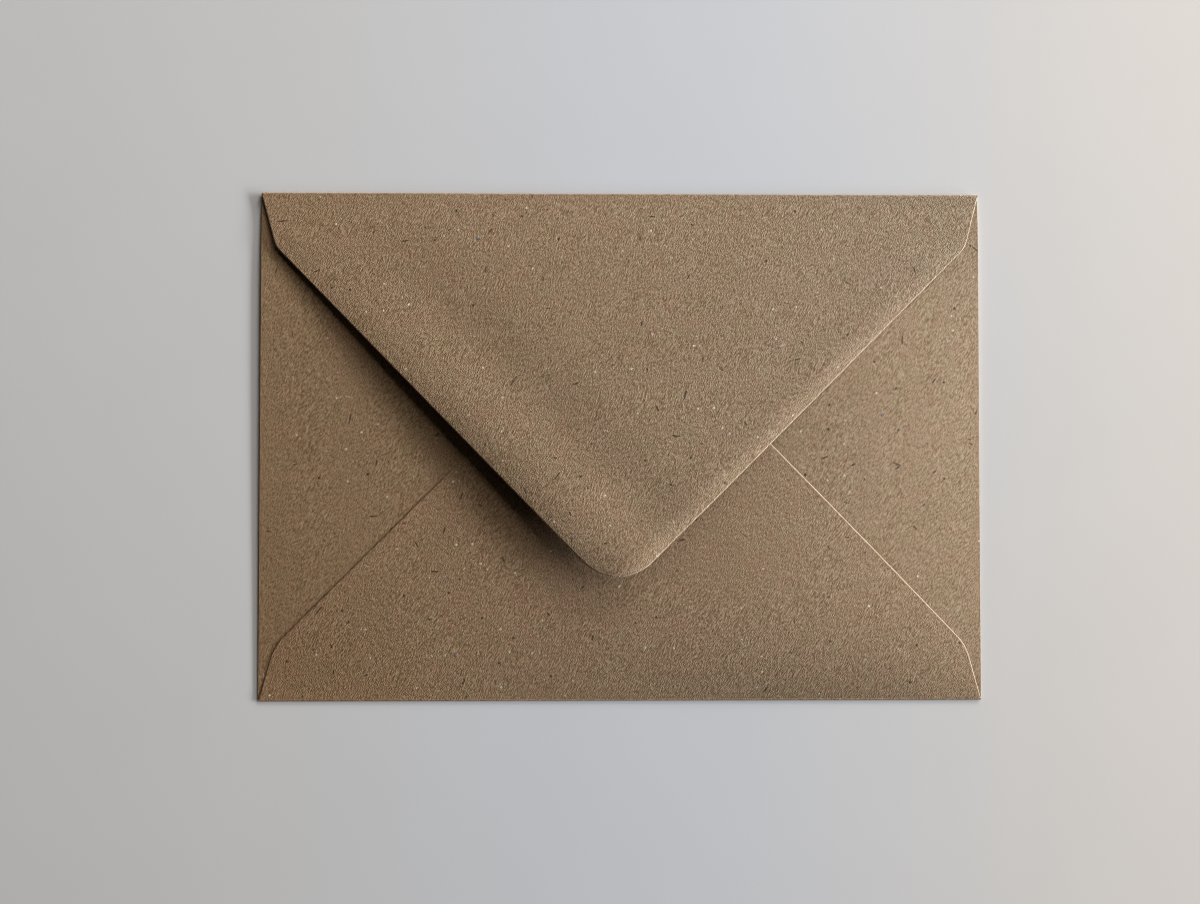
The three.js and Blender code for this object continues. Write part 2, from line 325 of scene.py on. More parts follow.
def inside_outline(xy, points):
    crossings = np.zeros(len(xy), int)
    for index, start in enumerate(points):
        end = points[(index + 1) % len(points)]
        spans = (start[1] > xy[:, 1]) != (end[1] > xy[:, 1])
        rise = end[1] - start[1]
        if rise == 0:
            continue
        at_x = start[0] + (xy[:, 1] - start[1]) * (end[0] - start[0]) / rise
        crossings += spans & (xy[:, 0] < at_x)
    return crossings % 2 == 1


def distance_to_outline(xy, points):
    return distance_to_cuts(xy, points, [True] * len(points))


def lattice(points, step):
    """Evenly spread places inside an outline, in rows set half a step apart."""
    low = points.min(axis=0)
    high = points.max(axis=0)
    row_step = step * math.sqrt(0.75)
    rows = []
    for index, y in enumerate(np.arange(low[1], high[1], row_step)):
        x = np.arange(low[0] + (index % 2) * step / 2, high[0], step)
        rows.append(np.stack([x, np.full_like(x, y)], axis=1))
    return np.concatenate(rows)


def triangulated(points, cuts, step, rings):
    """Places and facets that fill an outline, with rings of places just inside its cut edges."""
    fill = [lattice(points, step)]
    for inset in rings:
        fill.append(inset_points(points, cuts, inset))
    fill = np.concatenate(fill)
    keep = inside_outline(fill, points)
    fill = fill[keep]
    clear = distance_to_outline(fill, points)
    smallest = min(rings) if len(rings) else step
    fill = fill[clear > smallest * OUTLINE_ROOM]
    if len(rings):
        near_cut = distance_to_cuts(fill, points, cuts)
        ring_place = np.zeros(len(fill), bool)
        for inset in rings:
            ring_place |= np.abs(near_cut - inset) < inset * RING_SLACK
        fill = fill[ring_place | (near_cut > max(rings) + step * FACE_ROOM)]
    places = np.concatenate([points, fill])
    edges = [(index, (index + 1) % len(points)) for index in range(len(points))]
    loop = list(range(len(points)))
    vectors = [Vector(place) for place in places]
    made = geometry.delaunay_2d_cdt(vectors, edges, [loop], 1, 1e-7)
    flat = np.array([tuple(v) for v in made[0]])
    facets = np.array([list(f) for f in made[2]])
    a = flat[facets[:, 0]]
    b = flat[facets[:, 1]]
    c = flat[facets[:, 2]]
    area = (b[:, 0] - a[:, 0]) * (c[:, 1] - a[:, 1]) - (b[:, 1] - a[:, 1]) * (c[:, 0] - a[:, 0])
    facets[area < 0] = facets[area < 0][:, ::-1]
    return flat, facets


def winding(points):
    """1 for an outline that runs anticlockwise, with its inside on its left, and -1 for a clockwise one."""
    following = np.roll(points, -1, axis=0)
    doubled_area = np.sum(points[:, 0] * following[:, 1] - points[:, 1] * following[:, 0])
    return 1 if doubled_area > 0 else -1


def inset_points(points, cuts, inset):
    """The middle of each cut stretch, moved inward."""
    inside = winding(points)
    moved = []
    for index, point in enumerate(points):
        if not cuts[index]:
            continue
        following = points[(index + 1) % len(points)]
        inward = turned_left(unit(following - point)) * inside
        moved.append((point + following) / 2 + inward * inset)
    return np.array(moved).reshape(-1, 2)


def inward_directions(points):
    """Unit directions from each point of an outline into it."""
    ahead = np.roll(points, -1, axis=0) - points
    ahead /= np.linalg.norm(ahead, axis=1)[:, None]
    along = ahead + np.roll(ahead, 1, axis=0)
    inward = np.stack([-along[:, 1], along[:, 0]], axis=1) * winding(points)
    return inward / np.linalg.norm(inward, axis=1)[:, None]


def gradient_normals(height_at, xy):
    """Upward unit normals of the surface z = height_at(x, y)."""
    x = xy[:, 0]
    y = xy[:, 1]
    slope_x = (height_at(x + SLOPE_STEP, y) - height_at(x - SLOPE_STEP, y)) / (2 * SLOPE_STEP)
    slope_y = (height_at(x, y + SLOPE_STEP) - height_at(x, y - SLOPE_STEP)) / (2 * SLOPE_STEP)
    normals = np.stack([-slope_x, -slope_y, np.ones_like(x)], axis=1)
    return normals / np.linalg.norm(normals, axis=1)[:, None]


def finish_mesh(name, vertices, faces, loop_normals, material, cut_shares=None):
    """A piece of the scene; cut_shares says for each vertex how much it belongs to a cut edge."""
    mesh = bpy.data.meshes.new(name)
    mesh.from_pydata([tuple(v * MM) for v in vertices], [], [tuple(f) for f in faces])
    mesh.polygons.foreach_set("use_smooth", [True] * len(mesh.polygons))
    mesh.normals_split_custom_set([tuple(n) for n in loop_normals])
    mesh.materials.append(material)
    if cut_shares is not None:
        marks = mesh.attributes.new("cut_edge", "FLOAT", "POINT")
        marks.data.foreach_set("value", cut_shares)
    piece = bpy.data.objects.new(name, mesh)
    bpy.context.scene.collection.objects.link(piece)
    return piece


def sheet_piece(
    name, outline, step, underside, thickness, material, rounding=EDGE_ROUNDING, rings=EDGE_RINGS
):
    """A closed sheet of even thickness over an outline, its top face rounded down along the cut edges."""
    points, cuts = with_steps(*outline, EDGE_STEP if rings else step)
    flat, facets = triangulated(points, cuts, step, rings)
    count = len(flat)

    def topside(x, y):
        gap = distance_to_cuts(np.stack([x, y], axis=1), points, cuts)
        near = np.maximum(1 - gap / CUT_EDGE_WIDTH, 0)
        return underside(x, y) + thickness - rounding * near**2

    low = np.column_stack([flat, underside(flat[:, 0], flat[:, 1])])
    high = np.column_stack([flat, topside(flat[:, 0], flat[:, 1])])
    vertices = np.concatenate([low, high])
    just_inside = flat.copy()
    just_inside[: len(points)] += NORMAL_INSET * inward_directions(points)
    up_normals = gradient_normals(topside, just_inside)
    down_normals = -gradient_normals(underside, flat)
    faces = [tuple(f[::-1]) for f in facets] + [tuple(f + count) for f in facets]
    normals = [down_normals[i] for f in facets for i in f[::-1]]
    normals += [up_normals[i] for f in facets for i in f]
    edge_uses = {}
    for a, b, c in facets:
        for edge in ((a, b), (b, c), (c, a)):
            edge_uses[edge] = True
    for a, b in edge_uses:
        if (b, a) in edge_uses:
            continue
        faces.append((a, b, b + count, a + count))
        along = unit(flat[b] - flat[a])
        outward = np.array([along[1], -along[0], 0.0])
        normals += [outward] * 4
    cut_gaps = distance_to_cuts(flat, points, cuts)
    cut_shares = np.clip((CUT_EDGE_WIDTH - cut_gaps) / CUT_EDGE_FADE, 0, 1)
    return finish_mesh(name, vertices, faces, normals, material, np.tile(cut_shares, 2))


def fold_piece(name, stations, reach, height_at, to_place, material):
    """A fold: half an ellipse in section, one paper thick, from the front panel up to its flap."""
    outward = np.array(to_place(-1, 0)) - np.array(to_place(0, 0))
    turns = np.linspace(0, math.pi, BEND_STEPS + 1)
    vertices = []
    out_normals = []
    for station in stations:
        half_rise = height_at(station) / 2
        for layer in (0, PAPER):
            for turn in turns:
                out = reach - (reach - layer) * math.sin(turn)
                z = half_rise - (half_rise - layer) * math.cos(turn)
                x, y = to_place(out, station)
                vertices.append((x, y, z))
                across = math.sin(turn) / (reach - layer)
                upright = -math.cos(turn) / (half_rise - layer)
                normal = np.array([outward[0] * across, outward[1] * across, upright])
                out_normals.append(unit(normal) * (1 if layer == 0 else -1))
    vertices = np.array(vertices)
    ring = 2 * len(turns)
    faces = []
    normals = []

    def at(station, step, layer):
        return station * ring + layer * len(turns) + step

    def add(corners, fixed=None):
        faces.append(corners)
        normals.extend([out_normals[i] if fixed is None else fixed for i in corners])

    last = len(stations) - 1
    ends = np.array(to_place(0, stations[-1])) - np.array(to_place(0, stations[0]))
    end_normal = np.append(unit(ends), 0.0)
    inward = np.append(-outward, 0.0)
    for station in range(last):
        following = station + 1
        for step in range(BEND_STEPS):
            up = step + 1
            add((at(station, step, 0), at(station, up, 0), at(following, up, 0), at(following, step, 0)))
            add((at(following, step, 1), at(following, up, 1), at(station, up, 1), at(station, step, 1)))
        add((at(following, 0, 0), at(following, 0, 1), at(station, 0, 1), at(station, 0, 0)), inward)
        top = BEND_STEPS
        add((at(station, top, 0), at(station, top, 1), at(following, top, 1), at(following, top, 0)), inward)
    for step in range(BEND_STEPS):
        up = step + 1
        add((at(0, step, 1), at(0, up, 1), at(0, up, 0), at(0, step, 0)), -end_normal)
        add((at(last, step, 0), at(last, up, 0), at(last, up, 1), at(last, step, 1)), end_normal)
    return finish_mesh(name, vertices, faces, normals, material)


class Graph:
    """Short ways to add shader nodes and join them."""

    def __init__(self, material):
        material.use_nodes = True
        self.tree = material.node_tree
        self.tree.nodes.clear()

    def node(self, kind, inputs=None, **settings):
        made = self.tree.nodes.new(kind)
        for key, value in settings.items():
            setattr(made, key, value)
        for key, value in (inputs or {}).items():
            self.join(value, made.inputs[key])
        return made

    def join(self, value, socket):
        if isinstance(value, bpy.types.NodeSocket):
            self.tree.links.new(value, socket)
        else:
            socket.default_value = value

    def math(self, operation, first, second=0.0, third=0.0):
        inputs = {0: first, 1: second}
        if operation == "MULTIPLY_ADD":
            inputs[2] = third
        return self.node("ShaderNodeMath", inputs, operation=operation).outputs[0]

    def vector_math(self, operation, first, second):
        return self.node("ShaderNodeVectorMath", {0: first, 1: second}, operation=operation).outputs[0]

    def axes(self, vector):
        return self.node("ShaderNodeSeparateXYZ", {"Vector": vector}).outputs

    def parts_of(self, colour):
        return self.node("ShaderNodeSeparateColor", {"Color": colour}).outputs

    def from_parts(self, red, green, blue):
        return self.node("ShaderNodeCombineColor", {0: red, 1: green, 2: blue}).outputs[0]

    def ramp(self, value, low, high, to_low=0.0, to_high=1.0, smooth=False):
        kind = "SMOOTHSTEP" if smooth else "LINEAR"
        inputs = {"Value": value, "From Min": low, "From Max": high, "To Min": to_low, "To Max": to_high}
        return self.node("ShaderNodeMapRange", inputs, interpolation_type=kind).outputs[0]

    def mix(self, share, first, second, blend="MIX"):
        made = self.node("ShaderNodeMix", data_type="RGBA", blend_type=blend)
        self.join(share, made.inputs[0])
        self.join(first, made.inputs[6])
        self.join(second, made.inputs[7])
        return made.outputs[2]

    def product(self, first, second):
        """Two colours multiplied."""
        return self.mix(1.0, first, second, "MULTIPLY")

    def turned(self, vector, angle):
        inputs = {"Vector": vector, "Angle": angle}
        return self.node("ShaderNodeVectorRotate", inputs, rotation_type="Z_AXIS").outputs[0]

    def mapped(self, vector, location=(0, 0, 0), turn=0.0, scale=(1, 1, 1)):
        """The coordinates moved, then turned, then scaled."""
        moved = self.vector_math("ADD", vector, location)
        return self.vector_math("MULTIPLY", self.turned(moved, turn), scale)

    def place(self):
        """The place on the piece, in millimetres."""
        coordinates = self.node("ShaderNodeTexCoord").outputs["Object"]
        return self.mapped(coordinates, scale=(1 / MM, 1 / MM, 1 / MM))

    def noise(self, vector, scale, detail=2.0, roughness=0.5):
        inputs = {"Vector": vector, "Scale": scale, "Detail": detail, "Roughness": roughness}
        return self.node("ShaderNodeTexNoise", inputs).outputs["Fac"]

    def cells(self, vector, scale=1.0, randomness=1.0):
        inputs = {"Vector": vector, "Scale": scale, "Randomness": randomness}
        return self.node("ShaderNodeTexVoronoi", inputs, voronoi_dimensions="2D").outputs

    def bump(self, height):
        """The surface's direction under a relief given in millimetres."""
        return self.node("ShaderNodeBump", {"Height": height, "Distance": MM, "Strength": 1.0}).outputs[0]

    def surface(self, inputs):
        shader = self.node("ShaderNodeBsdfPrincipled", inputs)
        self.node("ShaderNodeOutputMaterial", {"Surface": shader.outputs[0]})


# Noise stays mostly between these two values
NOISE_RANGE = (0.3, 0.7)

# A strand's shape, as shares of its length and width: its half length, its bend, and where it fades
STRAND_SEED_STEP = (31.7, 17.3, 0)
STRAND_SCATTER = 0.8
STRAND_SHORTEST = 0.2
STRAND_LENGTH_SPREAD = 0.3
STRAND_BEND = 0.5
STRAND_END_FADE = 0.2
STRAND_SIDE_FADE = (0.3, 0.65)


def scattered_strands(graph, place, spacing, length, width, share, seed):
    """A mask of short strands lying every way, one in each of a share of the cells of a grid."""
    offset = tuple(seed * step for step in STRAND_SEED_STEP)
    moved = graph.mapped(place, offset, scale=(1 / spacing, 1 / spacing, 0))
    cells = graph.cells(moved, randomness=STRAND_SCATTER)
    from_centre = graph.vector_math("SUBTRACT", moved, cells["Position"])
    draws = graph.parts_of(cells["Color"])
    axes = graph.axes(graph.turned(from_centre, graph.math("MULTIPLY", draws[0], 2 * math.pi)))
    along = graph.math("ABSOLUTE", axes[0])
    bend = graph.math("MULTIPLY", graph.math("MULTIPLY", axes[0], axes[0]), STRAND_BEND)
    across = graph.math("ABSOLUTE", graph.math("SUBTRACT", axes[1], bend))
    spread = STRAND_LENGTH_SPREAD * length / spacing
    half_length = graph.math("MULTIPLY_ADD", draws[1], spread, STRAND_SHORTEST * length / spacing)
    end_fade = STRAND_END_FADE * width / spacing
    in_length = graph.ramp(graph.math("SUBTRACT", along, half_length), -end_fade, end_fade, 1, 0)
    full, gone = (part * width / spacing for part in STRAND_SIDE_FADE)
    in_width = graph.ramp(across, full, gone, 1, 0, smooth=True)
    chosen = graph.math("LESS_THAN", draws[2], share)
    return graph.math("MULTIPLY", graph.math("MULTIPLY", in_length, in_width), chosen)


# The kraft's colour at its left and right ends, the right painted paler and less red where the light falls on
# it; the casts that drift over it; and its cut edges, with painted shadow on the left and a painted highlight
# on the lit right
KRAFT_SHADED_LEFT = (0.395, 0.2528, 0.1373, 1)
KRAFT_LIT_RIGHT = (0.3675, 0.2588, 0.1589, 1)
REDDISH = (1.025, 0.985, 1.015, 1)
OLIVE = (0.978, 1.01, 0.985, 1)
CAST_OFFSET = (71, 13, 5)
CAST_SCALE = 0.25
# Light-coloured cut fibre with a painted highlight, for the cut edges on the lit right
LIT_CUT_EDGE_COLOUR = (0.78, 0.62, 0.46, 1)
# A painted shadow along the left cut edges, which face away from the light
SHADED_EDGE_COLOUR = (0.08, 0.05, 0.025, 1)
PLAIN_EDGE_COLOUR = (0.42, 0.3, 0.18, 1)
CUT_EDGE_SHARE = 0.6
LIT_EDGE_PLACES = (-20, 15)

# The paper's grain: its lean from the long side, its fineness along and across that lean, and its depth
SHEET_SEED_STEP = (53.1, 29.9, 11.3)
GRAIN_LEAN = math.radians(56)
GRAIN_SCALE = (1.3, 4.8, 1.0)
GRAIN_HEIGHT = 0.17
GRAIN_RANGE = (0.34, 0.66)
GRAIN_SHADE = 0.42
PULP_SCALE = 4.2
PULP_SHADE = 0.06
BLOTCH_SCALE = 0.6
BLOTCH_HEIGHT = 0.12
CLOUD_SCALE = 0.16

# Darker fibres are browner: their red falls less than their green, and their blue falls more
DARK_RED_POWER = 0.8
DARK_BLUE_POWER = 1.26

# Changes of tone: where each one starts and ends, in noise or in millimetres, and the tones there. The
# blotches and clouds are the paper's own; the rest are painted light and shade: lighter to the right, darker
# towards the bottom and in the lower left corner, and a little darker in the lower right corner, which trims
# the painted light there
BLOTCH_TONE = (0.25, 0.75, 0.95, 1.05)
CLOUD_TONE = (0.25, 0.75, 0.96, 1.04)
PAINTED_LIGHT_TO_RIGHT = (-60, HALF_WIDTH, 0.975, 1.13)
PAINTED_SHADE_TO_BOTTOM = (-HALF_HEIGHT, HALF_HEIGHT, 0.965, 0.99)
PAINTED_SHADE_LOWER_LEFT = (-126, -84, 0.82, 1.0)
PAINTED_SHADE_LOWER_RIGHT = (66, 106, 1.0, 0.88)

# The paper's shine
FELT_SCALE = 3.6
FELT_ROUGHNESS = (0.82, 0.96)
KRAFT_SPECULAR = 0.25
KRAFT_SHEEN = 0.06
KRAFT_SHEEN_ROUGHNESS = 0.6

# Loose fibres and small flecks: cell size, length, width, share of the cells, seed, colour and strength
STRANDS = (
    (6.4, 1.5, 0.34, 0.11, 1.3, (0.05, 0.034, 0.024, 1), 0.85),
    (9.5, 2.4, 0.36, 0.09, 2.1, (0.06, 0.04, 0.025, 1), 0.8),
    (6.7, 1.4, 0.28, 0.18, 4.9, (0.62, 0.5, 0.36, 1), 0.6),
)
FLECKS = (
    (5.4, 0.6, 0.55, 0.11, 7.3, (0.035, 0.03, 0.025, 1), 0.9),
    (4.6, 0.5, 0.45, 0.12, 8.9, (0.8, 0.74, 0.62, 1), 0.85),
    (31.0, 0.9, 0.45, 0.3, 9.7, (0.08, 0.13, 0.2, 1), 0.75),
)


def kraft_colour(graph, place, sheet_axes, hue):
    """The paper's colour, painted paler and less red towards its lit right side, with faint reddish and olive
    casts.
    """
    colour = graph.mix(graph.ramp(sheet_axes[0], -HALF_WIDTH, HALF_WIDTH), KRAFT_SHADED_LEFT, KRAFT_LIT_RIGHT)
    cast = graph.noise(graph.mapped(place, CAST_OFFSET), CAST_SCALE, detail=1.0)
    colour = graph.product(colour, graph.mix(graph.ramp(cast, *NOISE_RANGE), REDDISH, OLIVE))
    return graph.product(colour, hue)


def kraft_shade(graph, place, sheet_axes, grain, blotch, tone):
    """How light the paper is: by its grain, pulp, blotches and clouds, and by painted light and shade: tone
    for the piece, then lighter to the right and darker towards the bottom and in the lower corners.
    """
    pulp = graph.parts_of(graph.cells(place, PULP_SCALE)["Color"])[0]
    cloud = graph.noise(place, CLOUD_SCALE, detail=3.0, roughness=0.6)
    to_upper_right = graph.math("ADD", sheet_axes[0], sheet_axes[1])
    to_lower_right = graph.math("SUBTRACT", sheet_axes[0], sheet_axes[1])
    lower_left_shade = graph.ramp(to_upper_right, *PAINTED_SHADE_LOWER_LEFT)
    lower_right_shade = graph.ramp(to_lower_right, *PAINTED_SHADE_LOWER_RIGHT)
    shade = graph.ramp(grain, *GRAIN_RANGE, (1 - GRAIN_SHADE) * tone, (1 + GRAIN_SHADE) * tone)
    changes = (
        graph.ramp(pulp, 0, 1, 1 - PULP_SHADE, 1 + PULP_SHADE),
        graph.ramp(blotch, *BLOTCH_TONE),
        graph.ramp(cloud, *CLOUD_TONE),
        # Painted light and shade: lighter to the right, darker towards the bottom and in the lower corners
        graph.ramp(sheet_axes[0], *PAINTED_LIGHT_TO_RIGHT),
        graph.ramp(sheet_axes[1], *PAINTED_SHADE_TO_BOTTOM),
        graph.math("MULTIPLY", lower_left_shade, lower_right_shade),
    )
    for change in changes:
        shade = graph.math("MULTIPLY", shade, change)
    red = graph.math("POWER", shade, DARK_RED_POWER)
    blue = graph.math("POWER", shade, DARK_BLUE_POWER)
    return graph.from_parts(red, shade, blue)


def with_strands(graph, place, colour):
    """The colour with loose fibres and flecks strewn over it."""
    for spacing, length, width, share, seed, tint, strength in STRANDS + FLECKS:
        mask = scattered_strands(graph, place, spacing, length, width, share, seed)
        colour = graph.mix(graph.math("MULTIPLY", mask, strength), colour, tint)
    return colour


def with_cut_edges(graph, sheet_axes, colour, left_edge):
    """The colour at the cut edges: left_edge on the shaded left, a painted shadow on most pieces, turning to
    light-coloured cut fibre with a painted highlight on the lit right.
    """
    cut = graph.node("ShaderNodeAttribute", attribute_name="cut_edge").outputs["Fac"]
    toward_lit_side = graph.ramp(sheet_axes[0], *LIT_EDGE_PLACES)
    edge = graph.mix(toward_lit_side, left_edge, LIT_CUT_EDGE_COLOUR)
    return graph.mix(graph.math("MULTIPLY", cut, CUT_EDGE_SHARE), colour, edge)


def kraft_material(name, seed, hue=(1, 1, 1, 1), tone=1.0, relief=1.0, left_edge=SHADED_EDGE_COLOUR):
    """Uncoated recycled kraft; relief scales the depth of its grain, tone paints the piece lighter or darker
    for how it is lit, and left_edge is the colour of its left cut edges.
    """
    material = bpy.data.materials.new(name)
    graph = Graph(material)
    sheet = graph.place()
    sheet_axes = graph.axes(sheet)
    place = graph.mapped(sheet, tuple(seed * step for step in SHEET_SEED_STEP))
    leaning = graph.mapped(place, turn=-GRAIN_LEAN, scale=GRAIN_SCALE)
    grain = graph.noise(leaning, 1.0, detail=1.0)
    blotch = graph.noise(place, BLOTCH_SCALE, detail=3.0, roughness=0.6)
    felt = graph.noise(place, FELT_SCALE, detail=1.0)
    colour = kraft_colour(graph, place, sheet_axes, hue)
    colour = graph.product(colour, kraft_shade(graph, place, sheet_axes, grain, blotch, tone))
    colour = with_strands(graph, place, colour)
    colour = with_cut_edges(graph, sheet_axes, colour, left_edge)
    height = graph.math("MULTIPLY", grain, GRAIN_HEIGHT * relief)
    height = graph.math("MULTIPLY_ADD", blotch, BLOTCH_HEIGHT, height)
    graph.surface({
        "Base Color": colour,
        "Roughness": graph.ramp(felt, *NOISE_RANGE, *FELT_ROUGHNESS),
        "Normal": graph.bump(height),
        "Specular IOR Level": KRAFT_SPECULAR,
        "Sheen Weight": KRAFT_SHEEN,
        "Sheen Roughness": KRAFT_SHEEN_ROUGHNESS,
    })
    return material


# The dried films: their streaks' lean, shape and darkness, their specks, and the depths of both
STREAK_LEAN = 0.6
STREAK_SHAPE = (0.3, 2.0, 1.0)
STREAK_SCALE = 0.8
STREAK_SHADE = 0.86
STREAK_HEIGHT = 0.02
STREAK_ROUGHENING = 0.15
SPECK_SCALE = 2.5
SPECK_TONE = (0.62, 0.72, 0, 0.35)
SPECK_COLOUR = (0.2, 0.13, 0.08, 1)
SPECK_HEIGHT = 0.01
FILM_COAT_ROUGHNESS = 0.25


def film_material(name, tint, roughness, coat):
    """A thin dried film of glue: slightly streaky, smoother than the paper under it."""
    material = bpy.data.materials.new(name)
    graph = Graph(material)
    place = graph.place()
    leaning = graph.mapped(place, turn=STREAK_LEAN, scale=STREAK_SHAPE)
    streak = graph.noise(leaning, STREAK_SCALE, detail=3.0, roughness=0.6)
    speck = graph.noise(place, SPECK_SCALE, roughness=0.6)
    darker = tuple(STREAK_SHADE * part for part in tint[:3]) + (1,)
    colour = graph.mix(graph.ramp(streak, *NOISE_RANGE), tint, darker)
    colour = graph.mix(graph.ramp(speck, *SPECK_TONE), colour, SPECK_COLOUR)
    height = graph.math("MULTIPLY_ADD", speck, SPECK_HEIGHT, graph.math("MULTIPLY", streak, STREAK_HEIGHT))
    graph.surface({
        "Base Color": colour,
        "Roughness": graph.ramp(streak, *NOISE_RANGE, roughness, roughness + STREAK_ROUGHENING),
        "Normal": graph.bump(height),
        "Coat Weight": coat,
        "Coat Roughness": FILM_COAT_ROUGHNESS,
    })
    return material


# The table: its size, its colours, where they change from left to right, and painted light, lighter towards
# the back and darker towards the front, for the light's falloff
TABLE_HALF = 2000
PLAIN_TABLE = (0.8, 0.8, 0.8, 1)
BLUISH_TABLE = (0.775, 0.802, 0.85, 1)
CREAMY_TABLE = (0.83, 0.797, 0.76, 1)
BLUISH_PLACES = (-90, 0)
CREAMY_PLACES = (15, 130)
TABLE_DRIFT = 12.0
TABLE_DRIFT_SCALE = 0.006
TABLE_HAZE_SCALE = 0.03
TABLE_HAZE_TONE = (0.992, 1.008)
TABLE_PAINTED_FALLOFF = (-95, 80, 0.962, 1.03)
TABLE_ROUGHNESS = 0.7
TABLE_SPECULAR = 0.2


def table_material():
    """A plain matt table, faintly cloudy, a little cooler under the envelope and warmer to its right, with
    painted light that fades towards the front.
    """
    material = bpy.data.materials.new("table_top")
    graph = Graph(material)
    place = graph.place()
    axes = graph.axes(place)
    drift = graph.ramp(graph.noise(place, TABLE_DRIFT_SCALE), *NOISE_RANGE, -1, 1)
    across = graph.math("MULTIPLY_ADD", drift, TABLE_DRIFT, axes[0])
    colour = graph.mix(graph.ramp(across, *BLUISH_PLACES, smooth=True), PLAIN_TABLE, BLUISH_TABLE)
    colour = graph.mix(graph.ramp(across, *CREAMY_PLACES, smooth=True), colour, CREAMY_TABLE)
    shade = graph.ramp(graph.noise(place, TABLE_HAZE_SCALE), *NOISE_RANGE, *TABLE_HAZE_TONE)
    # Painted light: the table darkens towards the front, away from the lights
    shade = graph.math("MULTIPLY", shade, graph.ramp(axes[1], *TABLE_PAINTED_FALLOFF))
    graph.surface({
        "Base Color": graph.product(colour, graph.from_parts(shade, shade, shade)),
        "Roughness": TABLE_ROUGHNESS,
        "Specular IOR Level": TABLE_SPECULAR,
    })
    return material


# The camera's view from side to side, its place, and its lean in degrees from looking straight down
VIEW_ANGLE = math.radians(69)
CAMERA_PLACE = (-6.95, -5.38, 196.72)
CAMERA_LEAN = (1.17, -0.64, 0.03)
SENSOR_WIDTH = 36
NEAREST_SEEN = 0.01
FARTHEST_SEEN = 20

# Each light: azimuth, lowest and highest elevation and half width, all in degrees, then power and tint
LIGHT_DISTANCE = 1.7
LIGHTS = (
    ("window_sill", -15, 9, 13, 20, 19.2, (0.985, 1, 1.02)),
    ("window_pane", 5, 13, 18, 20, 27.1, (0.985, 1, 1.02)),
    ("window_top", 35, 25, 50, 10, 7.2, (1.0, 0.965, 0.925)),
    ("window_far", 60, 13, 25, 10, 13.8, (1.0, 0.97, 0.935)),
    ("room_wall", 97, 8, 30, 20, 3.0, (1.0, 0.84, 0.7)),
)
ROOM_TINT = (1.0, 0.86, 0.72, 1)
ROOM_STRENGTH = 0.014


def add_camera():
    data = bpy.data.cameras.new("camera")
    data.sensor_width = SENSOR_WIDTH
    data.lens = data.sensor_width / 2 / math.tan(VIEW_ANGLE / 2)
    data.clip_start = NEAREST_SEEN
    data.clip_end = FARTHEST_SEEN
    camera = bpy.data.objects.new("camera", data)
    lean = Vector([math.radians(angle) for angle in CAMERA_LEAN])
    turn = Matrix.Rotation(lean.length, 4, lean.normalized())
    camera.matrix_world = Matrix.Translation(Vector(CAMERA_PLACE) * MM) @ turn
    bpy.context.scene.collection.objects.link(camera)
    bpy.context.scene.camera = camera


def add_light(name, azimuth, low, high, spread, power, tint):
    """An upright area light facing the envelope, from one elevation to another, spread to each side."""
    data = bpy.data.lights.new(name, "AREA")
    data.shape = "RECTANGLE"
    middle = math.radians((low + high) / 2)
    data.size = 2 * LIGHT_DISTANCE * math.tan(math.radians(spread))
    data.size_y = 2 * LIGHT_DISTANCE * math.tan(math.radians((high - low) / 2))
    data.energy = power
    data.color = tint
    lamp = bpy.data.objects.new(name, data)
    turn = math.radians(azimuth)
    away = Vector((math.cos(turn) * math.cos(middle), math.sin(turn) * math.cos(middle), math.sin(middle)))
    lamp.location = away * LIGHT_DISTANCE
    lamp.rotation_mode = "QUATERNION"
    lamp.rotation_quaternion = away.to_track_quat("Z", "Y")
    bpy.context.scene.collection.objects.link(lamp)


def add_world():
    world = bpy.data.worlds.new("room")
    world.use_nodes = True
    background = world.node_tree.nodes["Background"]
    background.inputs["Color"].default_value = ROOM_TINT
    background.inputs["Strength"].default_value = ROOM_STRENGTH
    bpy.context.scene.world = world


def add_table():
    mesh = bpy.data.meshes.new("table")
    corners = ((-1, -1), (1, -1), (1, 1), (-1, 1))
    places = [(x * TABLE_HALF * MM, y * TABLE_HALF * MM, 0.0) for x, y in corners]
    mesh.from_pydata(places, [], [(0, 1, 2, 3)])
    mesh.materials.append(table_material())
    table = bpy.data.objects.new("table", mesh)
    bpy.context.scene.collection.objects.link(table)


def placed(piece, body, slot, *nodes):
    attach(piece, body)
    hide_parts(*nodes)


def panel_corner(side, y):
    return np.array([side * PANEL_RIGHT, y])


def add_front_panel(material):
    corners = [
        (panel_corner(-1, PANEL_BOTTOM), 0, False),
        (panel_corner(1, PANEL_BOTTOM), 0, False),
        (panel_corner(1, PANEL_TOP), 0, False),
        (panel_corner(-1, PANEL_TOP), 0, False),
    ]
    outline = rounded_outline(corners)
    front = sheet_piece(
        "front_sheet", outline, FRONT_STEP, front_underside, PAPER, material, rounding=0, rings=()
    )
    placed(front, "pocket", "kraft_outside", "front_panel")


def add_side_flap(side, word, material):
    ends = [panel_corner(side, PANEL_BOTTOM), panel_corner(side, PANEL_TOP)]
    shoulders = [side_shoulder(side, -1), side_shoulder(side, 1)]
    outline = flap_outline(ends, shoulders, side_point(side), SIDE_TIP_RADIUS)
    flap = sheet_piece(f"{word}_side_sheet", outline, BODY_STEP, side_underside, PAPER, material)
    placed(flap, "pocket", "kraft_outside", f"{word}_side_flap")


